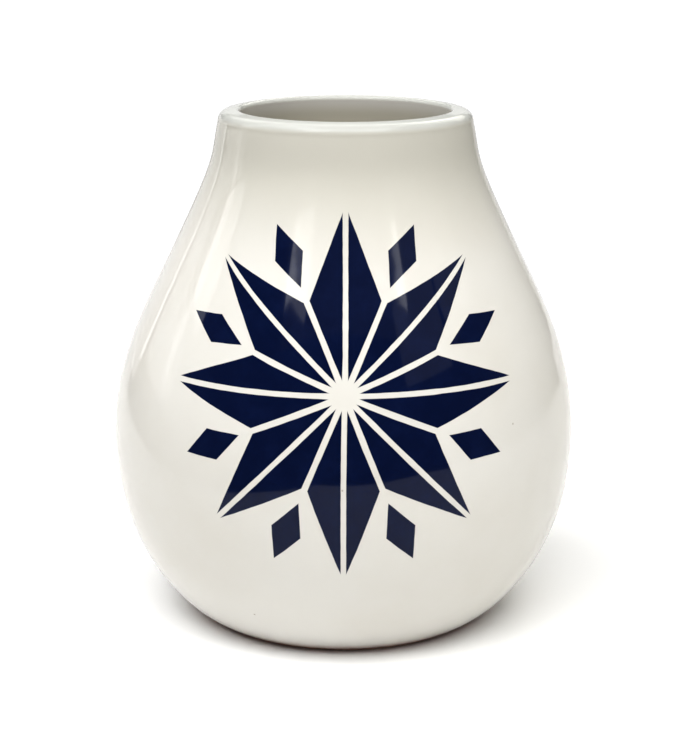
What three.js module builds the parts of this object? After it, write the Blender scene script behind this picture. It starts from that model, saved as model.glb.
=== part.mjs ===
// A ceramic mate gourd: a pear-shaped drinking cup of glazed earthenware, in one hollow piece. A full round
// belly rises from a flat foot, draws in to a short neck and ends in a soft rounded lip. Underneath, an
// unglazed foot ring stands round a shallow recess. Millimetres, +Z up, with the origin at the centre of
// the foot, on the surface that the cup stands on.
import * as THREE from "three";

// Driving dimensions
const height = 110;
const bellyRadius = 50.2;
const bellyHeight = 39.9;
const footRadius = 31.6;
const wall = 4.3;
const floorThickness = 5;

// The outer wall, as tangents and handle lengths of three Bezier curves
const footRise = 25; // degrees above the floor at which the wall leaves the foot
const footHandle = 4.4;
const bellyHandleBelow = 26.2;
const bellyHandleAbove = 16.5;
const shoulderRadius = 36;
const shoulderHeight = 82.8;
const shoulderLean = 26; // degrees in from upright, half way up the shoulder
const shoulderHandleBelow = 14.6;
const shoulderHandleAbove = 20;
const neckRadius = 27.1; // where the neck turns into the lip
const neckLean = 11.5;
const neckHandle = 8.3;

// The lip: a wide rounding outside, a top that rises slightly inwards and a tight rounding inside
const lipOutside = 2.2;
const lipInside = 0.85;
const lipTilt = 8; // degrees
const mouthRadius = 22.4;

// The inside of the bowl below the belly
const bowlFloorRadius = 17;
const bowlFloorHandle = 17;
const bowlHandleBelow = 19;

// The foot ring and the recess in it
const ringInnerRadius = 25;
const recessRadius = 23.4;
const recessDepth = 1.2;

// How finely each stretch is divided
const stepsAround = 72;
const stepsBelly = 10;
const stepsShoulder = 8;
const stepsNeck = 9;
const stepsLip = 4;
const stepsRecess = 3;

const glaze = new THREE.MeshStandardMaterial({ color: 0xe9e6da, roughness: 0.12, metalness: 0 });

// The height at which the neck turns into the lip. The lip's straight top runs from rounding to rounding.
const tilt = THREE.MathUtils.degToRad(lipTilt);
const rounding = lipOutside - lipInside;
const topRun = neckRadius - lipOutside - mouthRadius - lipInside + rounding * Math.sin(tilt);
const neckHeight = height - lipInside - rounding * Math.cos(tilt) - topRun * Math.tan(tilt);

// A point of the cross-section, at a radius and a height.
function at(radius, z) {
  return new THREE.Vector2(radius, z);
}

// The direction that goes up a wall leaning in by a number of degrees from upright.
function leaningIn(degrees) {
  const angle = THREE.MathUtils.degToRad(degrees);
  return at(-Math.sin(angle), Math.cos(angle));
}

// A Bezier curve between two points, leaving and arriving along directions with given handle lengths.
function sweep(from, leaving, leavingHandle, to, arriving, arrivingHandle) {
  const first = from.clone().addScaledVector(leaving, leavingHandle);
  const second = to.clone().addScaledVector(arriving, -arrivingHandle);
  return new THREE.CubicBezierCurve(from, first, second, to);
}

// The outer wall from the foot up to the lip, as its three curves.
function outerCurves() {
  const upright = leaningIn(0);
  const shoulderWay = leaningIn(shoulderLean);
  const foot = at(footRadius, 0);
  const belly = at(bellyRadius, bellyHeight);
  const shoulder = at(shoulderRadius, shoulderHeight);
  const neck = at(neckRadius, neckHeight);
  const footWay = leaningIn(footRise - 90);
  return {
    belly: sweep(foot, footWay, footHandle, belly, upright, bellyHandleBelow),
    shoulder: sweep(belly, upright, bellyHandleAbove, shoulder, shoulderWay, shoulderHandleBelow),
    neck: sweep(shoulder, shoulderWay, shoulderHandleAbove, neck, leaningIn(neckLean), neckHandle),
  };
}

// The point inside the wall that faces a point of an outer curve, one wall thickness in.
function insideOf(curve, share) {
  const way = curve.getTangent(share);
  const inward = at(-way.y, way.x);
  return curve.getPoint(share).addScaledVector(inward, wall);
}

// The points of the wall's inside along an outer curve, from its top end down to its bottom end.
function insideDown(curve, steps) {
  const points = [];
  for (let i = 0; i <= steps; i += 1) {
    points.push(insideOf(curve, 1 - i / steps));
  }
  return points;
}

// An arc of an ellipse, from one angle to another in degrees, as points.
function arc(centre, across, up, fromDegrees, toDegrees, steps) {
  const start = THREE.MathUtils.degToRad(fromDegrees);
  const end = THREE.MathUtils.degToRad(toDegrees);
  const curve = new THREE.EllipseCurve(centre.x, centre.y, across, up, start, end, end < start);
  return curve.getPoints(steps);
}

// The lip over the neck: outer rounding, top and inner rounding. The inner wall starts under it.
function lipPoints() {
  const outerCentre = at(neckRadius - lipOutside, neckHeight);
  const innerCentre = at(mouthRadius + lipInside, height - lipInside);
  const outside = arc(outerCentre, lipOutside, lipOutside, 0, 90 - lipTilt, stepsLip);
  const inside = arc(innerCentre, lipInside, lipInside, 90 - lipTilt, 180, stepsLip);
  return [...outside, ...inside];
}

// The inside of the bowl, from the belly down to the middle of its floor.
function bowlPoints(innerBelly) {
  const floorEdge = at(bowlFloorRadius, floorThickness);
  const down = leaningIn(180);
  const towardsAxis = leaningIn(90);
  const bowl = sweep(innerBelly, down, bowlHandleBelow, floorEdge, towardsAxis, bowlFloorHandle);
  return [...bowl.getPoints(stepsBelly), at(0, floorThickness)];
}

// The underside, from the axis out to the outer edge of the foot: recess, its rounded side, then the ring.
function undersidePoints() {
  const corner = at(recessRadius, 0);
  const side = arc(corner, ringInnerRadius - recessRadius, recessDepth, 90, 0, stepsRecess);
  return [at(0, recessDepth), ...side];
}

// The closed cross-section, from the axis under the cup, round the outside and back inside to the axis.
function crossSection() {
  const outer = outerCurves();
  const innerNeck = insideDown(outer.neck, stepsNeck);
  const innerShoulder = insideDown(outer.shoulder, stepsShoulder);
  const innerBelly = innerShoulder[innerShoulder.length - 1];
  const points = [
    ...undersidePoints(),
    ...outer.belly.getPoints(stepsBelly),
    ...outer.shoulder.getPoints(stepsShoulder).slice(1),
    ...outer.neck.getPoints(stepsNeck).slice(1),
    ...lipPoints().slice(1),
    ...innerNeck,
    ...innerShoulder.slice(1),
    ...bowlPoints(innerBelly).slice(1),
  ];
  return points;
}

const cup = new THREE.Mesh(new THREE.LatheGeometry(crossSection(), stepsAround), glaze);
cup.name = "gourd_cup";
cup.rotation.x = Math.PI / 2;

const part = new THREE.Group();
part.add(cup);

export default part;
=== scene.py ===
"""A ceramic mate cup: one turned mesh with a cream glaze, a bare clay foot and a printed front.

Metres, +Z up, in the CAD model's frame. The cup stands on the origin and its print faces -Y.
"""
import math

import bpy
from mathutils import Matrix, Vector, noise


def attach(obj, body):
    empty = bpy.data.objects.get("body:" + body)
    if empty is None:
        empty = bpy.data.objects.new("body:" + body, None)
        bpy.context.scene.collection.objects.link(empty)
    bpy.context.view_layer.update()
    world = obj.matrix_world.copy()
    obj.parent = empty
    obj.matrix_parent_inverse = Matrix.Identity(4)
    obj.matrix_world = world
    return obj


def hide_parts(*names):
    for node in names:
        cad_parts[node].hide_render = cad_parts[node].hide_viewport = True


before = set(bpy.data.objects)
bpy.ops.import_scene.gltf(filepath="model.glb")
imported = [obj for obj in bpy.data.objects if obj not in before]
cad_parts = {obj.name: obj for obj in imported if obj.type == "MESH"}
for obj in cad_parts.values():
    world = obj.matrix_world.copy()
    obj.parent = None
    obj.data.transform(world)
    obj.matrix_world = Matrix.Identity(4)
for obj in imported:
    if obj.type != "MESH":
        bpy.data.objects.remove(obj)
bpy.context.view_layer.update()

MM = 0.001

# The cup's form, as in the CAD model, with its angles in degrees
HEIGHT = 110 * MM
BELLY_RADIUS = 50.2 * MM
BELLY_HEIGHT = 39.9 * MM
FOOT_RADIUS = 31.6 * MM
WALL = 4.3 * MM
FLOOR_THICKNESS = 5 * MM
FOOT_RISE = 25
FOOT_HANDLE = 4.4 * MM
BELLY_HANDLE_BELOW = 26.2 * MM
BELLY_HANDLE_ABOVE = 16.5 * MM
SHOULDER_RADIUS = 36 * MM
SHOULDER_HEIGHT = 82.8 * MM
SHOULDER_LEAN = 26
SHOULDER_HANDLE_BELOW = 14.6 * MM
SHOULDER_HANDLE_ABOVE = 20 * MM
NECK_RADIUS = 27.1 * MM
NECK_LEAN = 11.5
NECK_HANDLE = 8.3 * MM
LIP_OUTSIDE = 2.2 * MM
LIP_INSIDE = 0.85 * MM
LIP_TILT = 8
MOUTH_RADIUS = 22.4 * MM
BOWL_FLOOR_RADIUS = 17 * MM
BOWL_FLOOR_HANDLE = 17 * MM
BOWL_HANDLE_BELOW = 19 * MM
RING_INNER_RADIUS = 25 * MM
RECESS_RADIUS = 23.4 * MM
RECESS_DEPTH = 1.2 * MM

# How finely the mesh is divided
STEPS_AROUND = 256
STEPS_BELLY = 84
STEPS_LONG_CURVE = 42
STEPS_LIP = 14
STEPS_SHORT = 8
FOOT_CROWDING = 1.5  # how much closer the points lie towards the foot
ON_AXIS = 1e-9  # a point with a smaller radius lies on the axis

# The hand of the maker: slow unevenness in the wall, within a fraction of a millimetre
UNEVEN_HEIGHT = 0.06 * MM
UNEVEN_LENGTH = 22 * MM
UNEVEN_FINE_HEIGHT = 0.5  # of the height, for a finer unevenness on top
UNEVEN_FINE_LENGTH = 0.45  # of the length
UNEVEN_FROM = 12 * MM  # the height at which it has fully set in, above the flat foot
SET_OVER = 0.43 * MM  # how far the neck stands to the right of the foot
SET_OVER_HEIGHTS = (40 * MM, 73 * MM)  # between which the wall moves over

# Where the glaze stops above the foot, and how thick its edge stands
GLAZE_LINE = 0.6 * MM
GLAZE_WAVE = 0.2 * MM
GLAZE_WAVE_LENGTH = 9 * MM
GLAZE_THIN = 2.1 * MM  # above the line, where the clay shows through thin glaze
THIN_SHARE = 0.7  # how strongly it shows there
GLAZE_EDGE = 0.15 * MM  # half the height over which the glaze ends
GLAZE_STEP = 0.15 * MM
GLAZED_RECESS = (24 * MM, 24.3 * MM)  # the radii between which the recess's glaze ends at the bare ring

# The printed star: split points with a lozenge between each two. Plain numbers are millimetres on the wall.
PRINT_HEIGHT = 59 * MM
POINT_COUNT = 8
POINT_LENGTH = 38.5
POINT_WIDEST = 18  # how far from the centre a point is widest
POINT_GAP = 0.6  # half the gap between two points
HAIRLINE = 0.55  # half the width of the line that splits a point
LOZENGE_CENTRE = 30
LOZENGE_HALF_LENGTH = 6.8
LOZENGE_HALF_WIDTH = 3.2
PRINT_SOFTNESS = 0.07
PRINT_WOBBLE = 0.12
PRINT_WOBBLE_LENGTH = 5 * MM

# The surface's small features: how long they are, how strongly they show and how deep they go
CLOUD_LENGTH = 28 * MM
CLOUD_DETAIL = 3
CLOUD_RANGE = (0.35, 0.75)
INK_LENGTH = 6 * MM
INK_DETAIL = 4
INK_COARSENESS = 0.6
INK_RANGE = (0.35, 0.8)
PINHOLE_SPACING = 9 * MM
PINHOLE_SHARE = 0.2  # of the places that could have one
PINHOLE_SIZE = 0.028  # of the spacing
PINHOLE_TINT = 0.55  # how strongly its colour shows
PINHOLE_DEPTH = 0.05 * MM
RIPPLE_LENGTH = 4 * MM
RIPPLE_DETAIL = 1
RIPPLE_HEIGHT = 0.006 * MM
GRAIN_LENGTH = 0.9 * MM
GRAIN_DETAIL = 5
GRAIN_COARSENESS = 0.65
GRAIN_RANGE = (0.3, 0.8)
GRAIN_HEIGHT = 0.12 * MM

# Colours, linear
CREAM = (0.702, 0.685, 0.642, 1)
CREAM_DEEP = (0.676, 0.654, 0.602, 1)
# painted shade: a darker cream for the neck, where less light falls
NECK_PAINTED_SHADE = (0.550, 0.534, 0.476, 1)
# painted shade: a darker cream for the lip's top, dimming the light that falls on it
LIP_PAINTED_SHADE = (0.512, 0.516, 0.486, 1)
# painted shade: a darker cream for the inside of the neck, where little light reaches
INSIDE_PAINTED_SHADE = (0.550, 0.523, 0.445, 1)
NAVY = (0.0004, 0.0048, 0.0325, 1)
NAVY_THIN = (0.0020, 0.0080, 0.0440, 1)
CLAY = (0.33, 0.135, 0.068, 1)
CLAY_PALE = (0.46, 0.23, 0.13, 1)
CLAY_VEILED = (0.60, 0.43, 0.375, 1)  # under thin glaze
SPECK = (0.30, 0.25, 0.18, 1)
NECK_SHADE_HEIGHTS = (80 * MM, 103 * MM)  # the heights between which painted shade deepens the cream towards the neck
# the heights over which painted shade darkens the lip
LIP_SHADE_HEIGHTS = (107.8 * MM, 109 * MM)
INSIDE_SHADE_TOP_FADE = (105.5 * MM, 109 * MM)  # the inside is paler towards the lip and in the bowl, where the painted shade fades out
# the heights between which the bowl's cream gives way to the painted shade inside the neck
INSIDE_SHADE_BOTTOM_FADE = (90 * MM, 101 * MM)
MOUTH_FADE = (-0.6 * MM, 0.3 * MM)  # along the wall, from where the lip's inner rounding ends
GLAZE_ROUGHNESS = 0.045
GLOSS_CHANGE = 0.03
CLAY_ROUGHNESS = 0.85
GLAZE_IOR = 1.31  # it mirrors the room as weakly as the photographed glaze does

# The camera of the photograph, with its pitch in degrees and its sensor in millimetres
CAMERA_DISTANCE = 400 * MM
CAMERA_HEIGHT = 158.75 * MM
CAMERA_PITCH = 15.02
FOCAL_PIXELS = 1884.4
PHOTO_WIDTH_PIXELS = 687
PHOTO_HEIGHT_PIXELS = 750
CENTRE_PIXEL = 343.4
SENSOR = 36
PICTURE_GAMMA = 0.85  # the photograph's stronger contrast

# The white table top, whose front corners are cut off
TABLE_EDGE = (
    (-300 * MM, 300 * MM), (-250 * MM, 90 * MM), (-115 * MM, -105 * MM), (-52 * MM, -240 * MM),
    (190 * MM, -240 * MM), (300 * MM, -165 * MM), (420 * MM, 60 * MM), (420 * MM, 300 * MM),
)
PAPER_WHITE = (0.89, 0.89, 0.89, 1)
PAPER_ROUGHNESS = 0.9
PAPER_GLINT = 0.1

# The room: white where the camera sees it, and dim in light and reflections
ROOM_WHITE = (1, 1, 1, 1)
SEEN_STRENGTH = 1.1
ROOM_STRENGTH = 0.2

# Soft lamps: azimuth from the front, elevation, distance, width, height, radiance and colour
AIM = Vector((0, 0, 55 * MM))
WHITE = (1, 1, 1)
WARM = (1, 0.985, 0.91)
LAMPS = {
    "front_haze": (0, 40, 0.90, 1.10, 0.10, 0.2, WHITE),
    "front_mid": (0, 51, 0.90, 1.10, 0.22, 5.9, WHITE),
    "front_top": (0, 67, 0.90, 1.00, 0.28, 5.05, WHITE),
    "left_top": (-90, 62, 0.90, 0.45, 0.45, 3.0, WHITE),
    "left_key": (-42, 50, 0.90, 0.42, 0.40, 3.0, WHITE),
    "left_strip": (-100, 30, 0.80, 0.21, 0.30, 2.8, WHITE),
    "left_streak": (-104.5, 15, 0.80, 0.06, 0.26, 1.4, WHITE),
    "left_low": (-112, 10, 1.00, 0.56, 0.25, 1.0, WHITE),
    "left_line": (-131.5, 6, 0.80, 0.035, 0.16, 2.2, WHITE),
    "right_soft": (46, 31, 0.85, 0.38, 0.25, 0.65, WHITE),
    "right_top": (60, 60, 0.90, 0.35, 0.35, 2.2, WARM),
    "right_mid": (85, 38, 0.90, 0.60, 0.35, 0.8, WARM),
    "right_back": (150, 38, 0.90, 0.50, 0.55, 1.55, WARM),
    "back_mid": (180, 40, 0.90, 0.80, 0.40, 1.1, WHITE),
    "back_low": (-147, 3, 0.95, 0.48, 0.24, 0.8, WHITE),
    "back_wall": (180, 6, 1.00, 0.62, 0.36, 0.6, WHITE),
    "backdrop": (180, -10.5, 1.00, 1.68, 0.20, 0.85, WHITE),
    "backdrop_right": (157, -0.5, 1.00, 0.20, 0.14, 0.55, WHITE),
}


def leaning_in(degrees):
    """The direction that goes up a wall leaning in by a number of degrees from upright."""
    angle = math.radians(degrees)
    return Vector((-math.sin(angle), math.cos(angle)))


def sweep(start, leaving, leaving_handle, end, arriving, arriving_handle, steps, crowding=1):
    """Points of a Bezier curve that leaves and arrives along directions with given handle lengths."""
    first = start + leaving * leaving_handle
    second = end - arriving * arriving_handle
    points = []
    for i in range(steps + 1):
        t = (i / steps) ** crowding
        u = 1 - t
        points.append(start * u ** 3 + first * (3 * u * u * t) + second * (3 * u * t * t) + end * t ** 3)
    return points


def arc(centre, across, up, start, end, steps):
    """Points of an elliptical arc between two angles in degrees."""
    points = []
    for i in range(steps + 1):
        angle = math.radians(start + (end - start) * i / steps)
        points.append(centre + Vector((across * math.cos(angle), up * math.sin(angle))))
    return points


def spread(start, end, steps):
    """Evenly spaced points on a straight line."""
    return [start.lerp(end, i / steps) for i in range(steps + 1)]


def inside_of(points):
    """The points one wall thickness inside an upward run of outer points, from the top down."""
    inner = []
    for i, point in enumerate(points):
        before = points[max(i - 1, 0)]
        after = points[min(i + 1, len(points) - 1)]
        way = (after - before).normalized()
        inner.append(point + Vector((-way.y, way.x)) * WALL)
    return inner[::-1]


def cross_section():
    """The closed outline of the wall, from the axis under the cup round the outside to the inner floor.

    It also returns the indices of the points where the outer wall starts and where the lip ends inside.
    """
    upright = leaning_in(0)
    shoulder_way = leaning_in(SHOULDER_LEAN)
    foot = Vector((FOOT_RADIUS, 0))
    belly = Vector((BELLY_RADIUS, BELLY_HEIGHT))
    shoulder = Vector((SHOULDER_RADIUS, SHOULDER_HEIGHT))
    tilt = math.radians(LIP_TILT)
    rounding = LIP_OUTSIDE - LIP_INSIDE
    top_run = NECK_RADIUS - LIP_OUTSIDE - MOUTH_RADIUS - LIP_INSIDE + rounding * math.sin(tilt)
    neck_height = HEIGHT - LIP_INSIDE - rounding * math.cos(tilt) - top_run * math.tan(tilt)
    neck = Vector((NECK_RADIUS, neck_height))
    lower = sweep(foot, leaning_in(FOOT_RISE - 90), FOOT_HANDLE, belly, upright, BELLY_HANDLE_BELOW,
                  STEPS_BELLY, FOOT_CROWDING)
    middle = sweep(belly, upright, BELLY_HANDLE_ABOVE, shoulder, shoulder_way, SHOULDER_HANDLE_BELOW,
                   STEPS_LONG_CURVE)
    upper = sweep(shoulder, shoulder_way, SHOULDER_HANDLE_ABOVE, neck, leaning_in(NECK_LEAN), NECK_HANDLE,
                  STEPS_LONG_CURVE)
    inner_wall = inside_of(middle + upper[1:])
    lip_out = arc(Vector((NECK_RADIUS - LIP_OUTSIDE, neck_height)), LIP_OUTSIDE, LIP_OUTSIDE,
                  0, 90 - LIP_TILT, STEPS_LIP)
    lip_in = arc(Vector((MOUTH_RADIUS + LIP_INSIDE, HEIGHT - LIP_INSIDE)), LIP_INSIDE, LIP_INSIDE,
                 90 - LIP_TILT, 180, STEPS_LIP)
    lip_top = spread(lip_out[-1], lip_in[0], STEPS_SHORT)
    neck_top = spread(lip_in[-1], inner_wall[0], STEPS_SHORT)
    floor_edge = Vector((BOWL_FLOOR_RADIUS, FLOOR_THICKNESS))
    bowl = sweep(inner_wall[-1], leaning_in(180), BOWL_HANDLE_BELOW, floor_edge, leaning_in(90),
                 BOWL_FLOOR_HANDLE, STEPS_LONG_CURVE)
    floor = spread(floor_edge, Vector((0, FLOOR_THICKNESS)), STEPS_SHORT)
    recess_side = arc(Vector((RECESS_RADIUS, 0)), RING_INNER_RADIUS - RECESS_RADIUS, RECESS_DEPTH,
                      90, 0, STEPS_SHORT)
    recess = spread(Vector((0, RECESS_DEPTH)), recess_side[0], STEPS_SHORT)
    ring = spread(recess_side[-1], foot, STEPS_SHORT)
    underside = recess[:-1] + recess_side + ring[1:-1]
    outside = lower + middle[1:] + upper[1:] + lip_out[1:] + lip_top[1:]
    inside = lip_in[1:] + neck_top[1:] + inner_wall[1:] + bowl[1:] + floor[1:]
    return underside + outside + inside, len(underside), len(underside + outside) + STEPS_LIP - 1


def smooth(low, high, value):
    """0 below low, 1 above high, and a smooth rise between."""
    t = min(max((value - low) / (high - low), 0), 1)
    return t * t * (3 - 2 * t)


def uneven(place):
    """The wall's slow unevenness at a place, in metres outwards. It fades out at the flat foot."""
    slow = noise.noise(place / UNEVEN_LENGTH)
    fine = noise.noise(place / (UNEVEN_LENGTH * UNEVEN_FINE_LENGTH))
    return UNEVEN_HEIGHT * (slow + UNEVEN_FINE_HEIGHT * fine) * smooth(0, UNEVEN_FROM, place.z)


def turned_vertices(outline):
    """The vertices of a turned outline, and each ring's first vertex and number of vertices."""
    vertices = []
    rings = []
    for point in outline:
        count = 1 if point.x < ON_AXIS else STEPS_AROUND
        over = Vector((SET_OVER * smooth(*SET_OVER_HEIGHTS, point.y), 0, 0))
        rings.append((len(vertices), count))
        for i in range(count):
            angle = 2 * math.pi * i / STEPS_AROUND
            out = Vector((math.sin(angle), -math.cos(angle), 0))
            place = out * point.x + Vector((0, 0, point.y))
            bulge = uneven(place) if count > 1 else 0
            vertices.append(place + over + out * bulge)
    return vertices, rings


def turned_faces(outline, rings, lengths):
    """The faces between the rings, and their corners' places on the wall: metres round and along it."""
    faces = []
    corner_places = []
    for j in range(len(outline) - 1):
        low, low_count = rings[j]
        high, high_count = rings[j + 1]
        for i in range(STEPS_AROUND):
            k = (i + 1) % STEPS_AROUND
            turn = i if i < STEPS_AROUND / 2 else i - STEPS_AROUND
            corners = [(low + i % low_count, turn, j), (low + k % low_count, turn + 1, j),
                       (high + k % high_count, turn + 1, j + 1), (high + i % high_count, turn, j + 1)]
            if low_count == 1:
                corners.pop(0)
            if high_count == 1:
                corners.pop()
            faces.append([vertex for vertex, _, _ in corners])
            for _, step, ring in corners:
                angle = 2 * math.pi * step / STEPS_AROUND
                corner_places.append((angle * outline[ring].x, lengths[ring]))
    return faces, corner_places


def placed(name, data):
    """A new object in the scene that shows a mesh, a lamp or a camera."""
    made = bpy.data.objects.new(name, data)
    bpy.context.collection.objects.link(made)
    return made


def face(made, direction):
    """Turns a lamp or camera to look in a direction."""
    made.rotation_mode = "QUATERNION"
    made.rotation_quaternion = direction.to_track_quat("-Z", "Y")


def turned(name, outline):
    """A closed mesh of revolution, and the length along the outline at each of its points.

    The UV map holds metres round the wall, from the front, and along it, from under the cup.
    """
    lengths = [0]
    for before, after in zip(outline, outline[1:]):
        lengths.append(lengths[-1] + (after - before).length)
    vertices, rings = turned_vertices(outline)
    faces, corner_places = turned_faces(outline, rings, lengths)
    mesh = bpy.data.meshes.new(name)
    mesh.from_pydata(vertices, [], faces)
    layer = mesh.uv_layers.new(name="wall")
    for loop, place in zip(layer.data, corner_places):
        loop.uv = place
    mesh.polygons.foreach_set("use_smooth", [True] * len(mesh.polygons))
    mesh.update()
    return placed(name, mesh), lengths


class Shader:
    """A material's node tree, with short ways to add and join nodes."""

    def __init__(self, name):
        self.material = bpy.data.materials.new(name)
        self.material.use_nodes = True
        self.tree = self.material.node_tree
        self.surface = self.tree.nodes["Principled BSDF"]

    def feed(self, socket, value):
        """Sets a socket to a number or colour, or links it to another socket."""
        if isinstance(value, bpy.types.NodeSocket):
            self.tree.links.new(value, socket)
        else:
            socket.default_value = value

    def node(self, kind, settings=None, **inputs):
        """A node, with its settings and its inputs by name."""
        made = self.tree.nodes.new(kind)
        for key, value in (settings or {}).items():
            setattr(made, key, value)
        for key, value in inputs.items():
            self.feed(made.inputs[key.replace("_", " ")], value)
        return made

    def math(self, operation, *values):
        """A Math node's result."""
        made = self.node("ShaderNodeMath", {"operation": operation})
        for socket, value in zip(made.inputs, values):
            self.feed(socket, value)
        return made.outputs[0]

    def distance(self, across, up):
        """How far a point of a plane lies from its origin."""
        squares = self.math("ADD", self.math("MULTIPLY", across, across), self.math("MULTIPLY", up, up))
        return self.math("SQRT", squares)

    def seen_along(self, radius, angle):
        """A point's distances along a direction and beside it, from its radius and its angle to that."""
        along = self.math("MULTIPLY", radius, self.math("COSINE", angle))
        beside = self.math("MULTIPLY", radius, self.math("SINE", angle))
        return along, beside

    def within_edge(self, along, beside, slant):
        """How far a point lies inside a straight edge that starts at the origin with a slant in radians."""
        return self.math("SUBTRACT", self.math("MULTIPLY", along, math.sin(slant)),
                         self.math("MULTIPLY", beside, math.cos(slant)))

    def ramp(self, value, low, high):
        """0 where value is below low, 1 above high, and a smooth rise between."""
        made = self.node("ShaderNodeMapRange", {"interpolation_type": "SMOOTHSTEP"}, Value=value)
        made.inputs["From Min"].default_value = low
        made.inputs["From Max"].default_value = high
        return made.outputs[0]

    def mix(self, share, first, second):
        """Two colours mixed. A Mix node's sockets 0, 6 and 7 are its factor and its colours A and B."""
        made = self.node("ShaderNodeMix", {"data_type": "RGBA"})
        for socket, value in zip((made.inputs[0], made.inputs[6], made.inputs[7]), (share, first, second)):
            self.feed(socket, value)
        return made.outputs[2]

    def noise(self, place, length, detail=2, coarseness=0.5):
        """Noise from 0 to 1, with features about as long as length."""
        made = self.node("ShaderNodeTexNoise", Vector=place)
        made.inputs["Scale"].default_value = 1 / length
        made.inputs["Detail"].default_value = detail
        made.inputs["Roughness"].default_value = coarseness
        return made.outputs["Fac"]

    def waver(self, place, length, reach):
        """Noise from -reach to reach, with features about as long as length."""
        return self.math("MULTIPLY", self.math("SUBTRACT", self.noise(place, length), 0.5), 2 * reach)


def print_mask(shader, round_wall, along_wall, centre_length, place):
    """1 inside the printed star and 0 outside, from a point's metres round the wall and along it."""
    across = shader.math("MULTIPLY", round_wall, 1 / MM)
    up = shader.math("MULTIPLY", shader.math("SUBTRACT", along_wall, centre_length), 1 / MM)
    radius = shader.distance(across, up)
    half_turn = math.pi / POINT_COUNT
    folded = shader.math("PINGPONG", shader.math("ARCTAN2", across, up), half_turn)
    # A point of the star: inside its two lower edges, inside its two upper edges and clear of its split line
    along, beside = shader.seen_along(radius, folded)
    lower_edge = shader.math("SUBTRACT", shader.within_edge(along, beside, half_turn), POINT_GAP)
    slant = math.atan2(POINT_WIDEST * math.tan(half_turn), POINT_LENGTH - POINT_WIDEST)
    upper_edge = shader.within_edge(shader.math("SUBTRACT", POINT_LENGTH, along), beside, slant)
    split_line = shader.math("SUBTRACT", beside, HAIRLINE)
    point = shader.math("MINIMUM", shader.math("MINIMUM", lower_edge, upper_edge), split_line)
    # A lozenge between two points
    along, beside = shader.seen_along(radius, shader.math("SUBTRACT", half_turn, folded))
    off_centre = shader.math("ABSOLUTE", shader.math("SUBTRACT", along, LOZENGE_CENTRE))
    slant = math.atan2(LOZENGE_HALF_WIDTH, LOZENGE_HALF_LENGTH)
    lozenge = shader.within_edge(shader.math("SUBTRACT", LOZENGE_HALF_LENGTH, off_centre), beside, slant)
    wobble = shader.waver(place, PRINT_WOBBLE_LENGTH, PRINT_WOBBLE)
    inside = shader.math("ADD", shader.math("MAXIMUM", point, lozenge), wobble)
    return shader.ramp(inside, -PRINT_SOFTNESS, PRINT_SOFTNESS)


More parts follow.
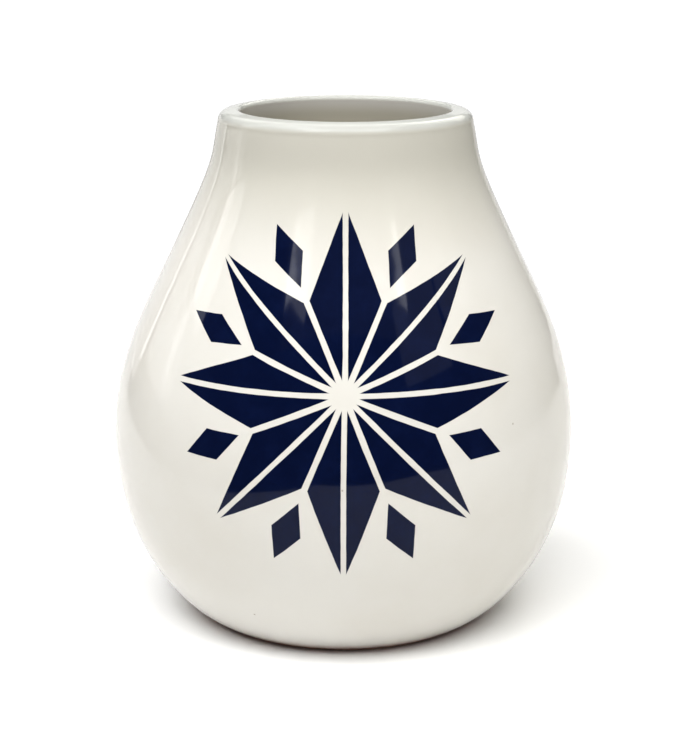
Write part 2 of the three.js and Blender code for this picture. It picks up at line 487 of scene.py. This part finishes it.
def glazed_clay(print_centre, mouth_length):
    """Cream glaze over earthenware, with the print under it and bare clay at the foot.

    It needs the lengths along the wall at which the print has its centre and at which the inside begins.
    """
    shader = Shader("glazed_clay")
    place = shader.node("ShaderNodeTexCoord").outputs["Object"]
    x, y, z = shader.node("ShaderNodeSeparateXYZ", Vector=place).outputs
    wall_map = shader.node("ShaderNodeUVMap", {"uv_map": "wall"}).outputs[0]
    round_wall, along_wall, _ = shader.node("ShaderNodeSeparateXYZ", Vector=wall_map).outputs
    # Cream, with slow cloudy changes of depth, and painted shade that deepens it round the neck, lip and
    # mouth
    clouds = shader.noise(place, CLOUD_LENGTH, CLOUD_DETAIL)
    cream = shader.mix(shader.ramp(clouds, *CLOUD_RANGE), CREAM, CREAM_DEEP)
    # painted shade: the cream darkens towards the neck
    cream = shader.mix(shader.ramp(z, *NECK_SHADE_HEIGHTS), cream, NECK_PAINTED_SHADE)
    # painted shade: the lip's top is darkened
    cream = shader.mix(shader.ramp(z, *LIP_SHADE_HEIGHTS), cream, LIP_PAINTED_SHADE)
    # painted shade inside the mouth: a darker band below the lip, fading into the bowl's cream
    within = shader.mix(shader.ramp(z, *INSIDE_SHADE_BOTTOM_FADE), CREAM_DEEP, INSIDE_PAINTED_SHADE)
    within = shader.mix(shader.ramp(z, *INSIDE_SHADE_TOP_FADE), within, CREAM)
    mouth = shader.ramp(along_wall, mouth_length + MOUTH_FADE[0], mouth_length + MOUTH_FADE[1])
    cream = shader.mix(mouth, cream, within)
    # Pinholes
    cells = shader.node("ShaderNodeTexVoronoi", {"feature": "F1"}, Vector=place)
    cells.inputs["Scale"].default_value = 1 / PINHOLE_SPACING
    lot = shader.node("ShaderNodeSeparateColor", Color=cells.outputs["Color"]).outputs[0]
    near = shader.math("LESS_THAN", cells.outputs["Distance"], PINHOLE_SIZE)
    pinhole = shader.math("MULTIPLY", shader.math("GREATER_THAN", lot, 1 - PINHOLE_SHARE), near)
    cream = shader.mix(shader.math("MULTIPLY", pinhole, PINHOLE_TINT), cream, SPECK)
    # Print
    thinness = shader.ramp(shader.noise(place, INK_LENGTH, INK_DETAIL, INK_COARSENESS), *INK_RANGE)
    ink = shader.mix(thinness, NAVY, NAVY_THIN)
    printed = print_mask(shader, round_wall, along_wall, print_centre, place)
    colour = shader.mix(printed, cream, ink)
    # Thin glaze above the glaze line, and bare clay below it and on the foot ring
    level = shader.math("ADD", z, shader.waver(place, GLAZE_WAVE_LENGTH, GLAZE_WAVE))
    veil = shader.math("SUBTRACT", 1, shader.ramp(level, GLAZE_LINE, GLAZE_LINE + GLAZE_THIN))
    colour = shader.mix(shader.math("MULTIPLY", veil, THIN_SHARE), colour, CLAY_VEILED)
    low = shader.math("SUBTRACT", 1, shader.ramp(level, GLAZE_LINE - GLAZE_EDGE, GLAZE_LINE + GLAZE_EDGE))
    bare = shader.math("MULTIPLY", low, shader.ramp(shader.distance(x, y), *GLAZED_RECESS))
    grain = shader.noise(place, GRAIN_LENGTH, GRAIN_DETAIL, GRAIN_COARSENESS)
    clay = shader.mix(shader.ramp(grain, *GRAIN_RANGE), CLAY, CLAY_PALE)
    shader.feed(shader.surface.inputs["Base Color"], shader.mix(bare, colour, clay))
    # Gloss: the glaze's changes a little with the clouds, and the bare clay is matt
    gloss = shader.math("ADD", GLAZE_ROUGHNESS, shader.math("MULTIPLY", clouds, GLOSS_CHANGE))
    rough = shader.math("ADD", shader.math("MULTIPLY", bare, CLAY_ROUGHNESS - GLAZE_ROUGHNESS), gloss)
    shader.feed(shader.surface.inputs["Roughness"], rough)
    shader.surface.inputs["IOR"].default_value = GLAZE_IOR
    # Relief: the glaze's faint waviness and its edge, the pinholes and the clay's grain
    ripple = shader.math("MULTIPLY", shader.noise(place, RIPPLE_LENGTH, RIPPLE_DETAIL), RIPPLE_HEIGHT)
    pit = shader.math("MULTIPLY", pinhole, -PINHOLE_DEPTH)
    grit = shader.math("MULTIPLY", shader.math("MULTIPLY", grain, bare), GRAIN_HEIGHT)
    step = shader.math("MULTIPLY", bare, -GLAZE_STEP)
    height = shader.math("ADD", shader.math("ADD", ripple, pit), shader.math("ADD", grit, step))
    bump = shader.node("ShaderNodeBump", Height=height, Strength=1, Distance=1)
    shader.feed(shader.surface.inputs["Normal"], bump.outputs[0])
    return shader.material


def table():
    """The white table top that the cup stands on."""
    mesh = bpy.data.meshes.new("table")
    mesh.from_pydata([(x, y, 0) for x, y in TABLE_EDGE], [], [range(len(TABLE_EDGE))])
    shader = Shader("paper")
    shader.surface.inputs["Base Color"].default_value = PAPER_WHITE
    shader.surface.inputs["Roughness"].default_value = PAPER_ROUGHNESS
    shader.surface.inputs["Specular IOR Level"].default_value = PAPER_GLINT
    mesh.materials.append(shader.material)
    placed("table", mesh)


def lamp(name, azimuth, elevation, distance, width, height, radiance, colour):
    """A soft rectangular lamp that faces the cup. Its power is pi times its radiance and its area."""
    data = bpy.data.lights.new(name, "AREA")
    data.shape = "RECTANGLE"
    data.size = width
    data.size_y = height
    data.color = colour
    data.energy = radiance * math.pi * width * height
    turn = math.radians(azimuth)
    rise = math.radians(elevation)
    back = Vector((math.sin(turn) * math.cos(rise), -math.cos(turn) * math.cos(rise), math.sin(rise)))
    made = placed(name, data)
    made.location = AIM + back * distance
    made.visible_camera = False
    face(made, -back)


def plain_light(tree, strength):
    """A world shader of one white and one strength."""
    made = tree.nodes.new("ShaderNodeBackground")
    made.inputs["Color"].default_value = ROOM_WHITE
    made.inputs["Strength"].default_value = strength
    return made.outputs[0]


def room():
    """The world: white where the camera sees it, and a dim room for light and reflections."""
    world = bpy.data.worlds.new("room")
    bpy.context.scene.world = world
    world.use_nodes = True
    tree = world.node_tree
    tree.nodes.clear()
    rays = tree.nodes.new("ShaderNodeLightPath")
    mix = tree.nodes.new("ShaderNodeMixShader")
    out = tree.nodes.new("ShaderNodeOutputWorld")
    tree.links.new(rays.outputs["Is Camera Ray"], mix.inputs["Fac"])
    tree.links.new(plain_light(tree, ROOM_STRENGTH), mix.inputs[1])
    tree.links.new(plain_light(tree, SEEN_STRENGTH), mix.inputs[2])
    tree.links.new(mix.outputs[0], out.inputs["Surface"])


def photo_camera():
    """The photograph's camera."""
    data = bpy.data.cameras.new("camera")
    data.sensor_width = SENSOR
    data.lens = SENSOR * FOCAL_PIXELS / PHOTO_HEIGHT_PIXELS
    data.shift_x = (PHOTO_WIDTH_PIXELS / 2 - CENTRE_PIXEL) / PHOTO_HEIGHT_PIXELS
    pitch = math.radians(CAMERA_PITCH)
    made = placed("camera", data)
    made.location = (0, -CAMERA_DISTANCE, CAMERA_HEIGHT)
    face(made, Vector((0, math.cos(pitch), -math.sin(pitch))))
    bpy.context.scene.camera = made


outline, foot_index, mouth_index = cross_section()
cup, lengths = turned("glazed_cup", outline)
print_centre = next(length for point, length in zip(outline[foot_index:], lengths[foot_index:])
                    if point.y >= PRINT_HEIGHT)
cup.data.materials.append(glazed_clay(print_centre, lengths[mouth_index]))
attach(cup, "root")
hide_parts("gourd_cup")

table()
room()
for lamp_name, values in LAMPS.items():
    lamp(lamp_name, *values)
photo_camera()
bpy.context.scene.view_settings.view_transform = "Standard"
bpy.context.scene.view_settings.gamma = PICTURE_GAMMA
